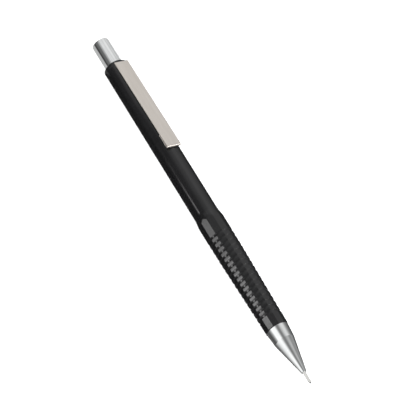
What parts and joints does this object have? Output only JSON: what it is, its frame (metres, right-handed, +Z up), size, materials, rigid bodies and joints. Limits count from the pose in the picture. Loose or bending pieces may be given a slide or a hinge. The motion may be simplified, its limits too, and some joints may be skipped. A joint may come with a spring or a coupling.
{
  "type": "mechanical pencil",
  "caption": "Slim drafting mechanical pencil with a faceted, ring-grooved grip, chrome nose cone and push cap, and a flat steel pocket clip.",
  "frame": {"origin": "centre of the bounding box on the ground plane, with the grip's lowest facet at Z = 0", "axes": "+X along the pencil towards the writing tip, +Z up through the clip, +Y completes the right-handed set"},
  "size_m": [0.1438, 0.009, 0.0097],
  "materials": {
    "black_plastic": "moulded gloss",
    "clip_steel": "satin",
    "chrome": "polished plating",
    "plated_steel": "plated",
    "wire_steel": "drawn wire",
    "sleeve_steel": "ground",
    "brass": "turned",
    "tube_plastic": "extruded",
    "housing_plastic": "moulded",
    "eraser_vinyl": "soft matte",
    "retainer_rubber": "matte",
    "graphite": "graphite sheen"
  },
  "bodies": {
    "barrel": {"barrel": "black_plastic", "end_collar": "black_plastic", "clip_anchor": "clip_steel", "inner_sleeve": "housing_plastic", "spring": "wire_steel"},
    "clip": {"clip_arm": "clip_steel"},
    "plunger": {"lead_tube": "tube_plastic", "tube_connector": "brass", "collet_stem": "brass", "spare_leads": "graphite"},
    "cap": {"push_cap": "chrome"},
    "eraser_plug": {"eraser": "eraser_vinyl", "eraser_ferrule": "plated_steel", "cleaning_pin": "wire_steel"},
    "jaw_1": {"collet_jaw_1": "brass"},
    "jaw_2": {"collet_jaw_2": "brass"},
    "jaw_3": {"collet_jaw_3": "brass"},
    "clutch": {"clutch_ring": "brass"},
    "nose_carrier": {"lead_retainer": "retainer_rubber"},
    "nose": {"nose_cone": "chrome", "lead_sleeve": "sleeve_steel"},
    "lead_in_use": {"lead": "graphite"}
  },
  "joints": [
    {"name": "push", "type": "slide", "parent": "barrel", "child": "plunger", "axis": [1, 0, 0], "range_m": [0, 0.004], "stiffness_N_per_m": 1000, "springref_m": -0.004, "deforming": ["spring"]},
    {"name": "clutch_travel", "type": "slide", "parent": "barrel", "child": "clutch", "axis": [1, 0, 0], "range_m": [0, 0.001]},
    {"name": "jaw_open_1", "type": "hinge", "parent": "plunger", "child": "jaw_1", "pos_m": [0.0419, 0, 0.00525], "axis": [0, -1, 0], "range_deg": [0, 0.95]},
    {"name": "jaw_open_2", "type": "hinge", "parent": "plunger", "child": "jaw_2", "pos_m": [0.0419, 0.00067, 0.00409], "axis": [0, 0.5, 0.866], "range_deg": [0, 0.95]},
    {"name": "jaw_open_3", "type": "hinge", "parent": "plunger", "child": "jaw_3", "pos_m": [0.0419, -0.00067, 0.00409], "axis": [0, 0.5, -0.866], "range_deg": [0, 0.95]},
    {"name": "cap_pull", "type": "slide", "parent": "plunger", "child": "cap", "axis": [-1, 0, 0], "range_m": [0, 0.025]},
    {"name": "eraser_pull", "type": "slide", "parent": "plunger", "child": "eraser_plug", "axis": [-1, 0, 0], "range_m": [0, 0.0055]},
    {"name": "clip_flex", "type": "hinge", "parent": "barrel", "child": "clip", "pos_m": [-0.05985, 0, 0.00887], "axis": [0, -1, 0], "range_deg": [0, 4], "stiffness_Nm_per_rad": 0.8, "springref_deg": -2.86},
    {"name": "nose_feed", "type": "slide", "parent": "barrel", "child": "nose_carrier", "axis": [1, 0, 0], "range_m": [0, 0.0055]},
    {"name": "nose_turn", "type": "hinge", "parent": "nose_carrier", "child": "nose", "pos_m": [0.05185, 0, 0.00447], "axis": [1, 0, 0], "range_deg": [0, 2640]},
    {"name": "lead_feed", "type": "slide", "parent": "barrel", "child": "lead_in_use", "axis": [1, 0, 0], "range_m": [0, 0.006]}
  ],
  "couplings": [
    {"joint": "clutch_travel", "follows": "push", "ratio": 0.25},
    {"joint": "nose_turn", "follows": "nose_feed", "rad_per_m": 8377.6},
    {"joint": "jaw_open_1", "follows": "push", "rad_per_m": 4.145},
    {"joint": "jaw_open_2", "follows": "push", "rad_per_m": 4.145},
    {"joint": "jaw_open_3", "follows": "push", "rad_per_m": 4.145}
  ]
}
